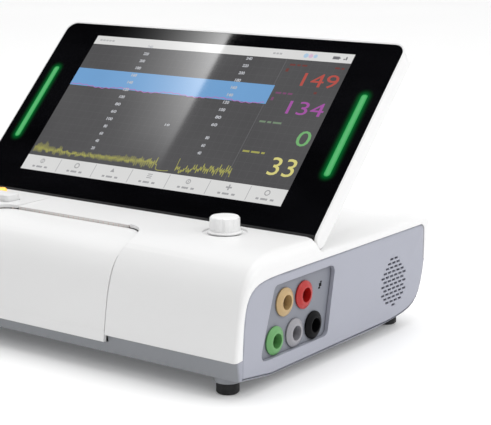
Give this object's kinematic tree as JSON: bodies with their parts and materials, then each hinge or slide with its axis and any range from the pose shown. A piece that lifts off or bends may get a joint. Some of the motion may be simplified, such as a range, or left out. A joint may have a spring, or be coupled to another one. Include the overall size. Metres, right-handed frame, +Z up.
{
  "type": "cardiotocograph",
  "caption": "Desk-top fetal monitor: wedge-fronted white case with grey sides, folding screen on a rear hinge, strip-chart printer behind a curved door, knob and round side sockets.",
  "frame": {"origin": "on the table, under the middle of the case: the middle of the bounding box's lower face", "axes": "+Z up, +X to the right of someone who faces the screen, front and printer door towards -Y"},
  "size_m": [0.35, 0.2576, 0.2192],
  "materials": {
    "white_plastic": "satin",
    "grey_plastic": "fine grain",
    "base_grey_plastic": "fine grain",
    "dark_grey_plastic": "fine grain",
    "black_plastic": "matte",
    "beige_plastic": "satin",
    "red_plastic": "satin",
    "green_plastic": "satin",
    "pale_grey_plastic": "satin",
    "amber_plastic": "lit, translucent",
    "green_light": "lit, translucent",
    "blue_plastic": "shrink wrap",
    "black_glass": "polished",
    "screen": "lit screen",
    "circuit_board": "solder mask",
    "paper": "thermal paper",
    "rubber": "matte",
    "steel": "brushed",
    "aluminium": "sheet",
    "brass": "plain"
  },
  "bodies": {
    "case": {"top_shell": "white_plastic", "base_tray": "base_grey_plastic", "side_panel_left": "grey_plastic", "side_panel_right": "grey_plastic", "connector_plate": "dark_grey_plastic", "socket_toco": "beige_plastic", "socket_ultrasound_1": "red_plastic", "socket_marker": "green_plastic", "socket_ultrasound_2": "pale_grey_plastic", "socket_scalp_electrode": "black_plastic", "loudspeaker": "black_plastic", "foot_front_left": "rubber", "foot_front_right": "rubber", "foot_rear_left": "rubber", "foot_rear_right": "rubber", "case_screw_front_left": "steel", "case_screw_front_right": "steel", "case_screw_rear_left": "steel", "case_screw_rear_right": "steel", "knob_encoder": "black_plastic", "door_release_switch": "black_plastic", "amber_lamp": "amber_plastic", "gear_plate": "steel", "paper_motor": "steel", "paper_tray": "dark_grey_plastic", "chart_paper": "paper", "print_head": "brass", "hinge_bracket_left": "steel", "hinge_bracket_right": "steel", "hinge_pin_left": "steel", "hinge_pin_right": "steel", "mains_inlet": "black_plastic", "power_switch_frame": "black_plastic", "earth_stud": "steel", "network_socket": "steel", "usb_socket": "steel", "main_board": "circuit_board", "front_end_shield": "steel", "power_supply": "aluminium", "battery_cover": "grey_plastic", "battery_pack": "blue_plastic"},
    "display": {"display_casing": "white_plastic", "cover_glass": "black_glass", "lcd_panel": "screen", "display_board": "circuit_board", "light_bar_left": "green_light", "light_bar_right": "green_light"},
    "door": {"printer_door": "white_plastic"},
    "platen": {"platen_roller": "rubber", "platen_gear": "beige_plastic"},
    "idler": {"idler_gear": "beige_plastic"},
    "motor_rotor": {"motor_pinion": "brass", "motor_shaft": "steel"},
    "knob_slider": {"knob_shaft": "steel"},
    "knob": {"control_knob": "white_plastic"},
    "release_key": {"door_release_key": "white_plastic"},
    "rocker": {"power_switch_rocker": "black_plastic"}
  },
  "joints": [
    {"name": "display_tilt", "type": "hinge", "parent": "case", "child": "display", "pos_m": [0, -0.0214, 0.0903], "axis": [1, 0, 0], "range_deg": [-45.6, 44.4]},
    {"name": "door_swing", "type": "hinge", "parent": "case", "child": "door", "pos_m": [0, -0.1256, 0.0298], "axis": [1, 0, 0], "range_deg": [0, 80]},
    {"name": "platen_spin", "type": "hinge", "parent": "door", "child": "platen", "pos_m": [0, -0.082, 0.078], "axis": [1, 0, 0], "continuous": true},
    {"name": "idler_spin", "type": "hinge", "parent": "case", "child": "idler", "pos_m": [0.04, -0.06889, 0.07012], "axis": [1, 0, 0], "continuous": true},
    {"name": "motor_spin", "type": "hinge", "parent": "case", "child": "motor_rotor", "pos_m": [0.04, -0.06264, 0.05838], "axis": [1, 0, 0], "continuous": true},
    {"name": "knob_press", "type": "slide", "parent": "case", "child": "knob_slider", "axis": [0, 0, -1], "range_m": [0, 0.0006], "stiffness_N_per_m": 3000},
    {"name": "knob_turn", "type": "hinge", "parent": "knob_slider", "child": "knob", "pos_m": [0.107, -0.0492, 0.098], "axis": [0, 0, 1], "continuous": true},
    {"name": "release_press", "type": "slide", "parent": "case", "child": "release_key", "axis": [0, 0, -1], "range_m": [0, 0.002], "stiffness_N_per_m": 600},
    {"name": "power_rock", "type": "hinge", "parent": "case", "child": "rocker", "pos_m": [-0.078, 0.1191, 0.064], "axis": [1, 0, 0], "range_deg": [-18, 0]}
  ],
  "couplings": [
    {"joint": "idler_spin", "follows": "platen_spin", "ratio": -0.875},
    {"joint": "motor_spin", "follows": "platen_spin", "ratio": 1.4}
  ]
}
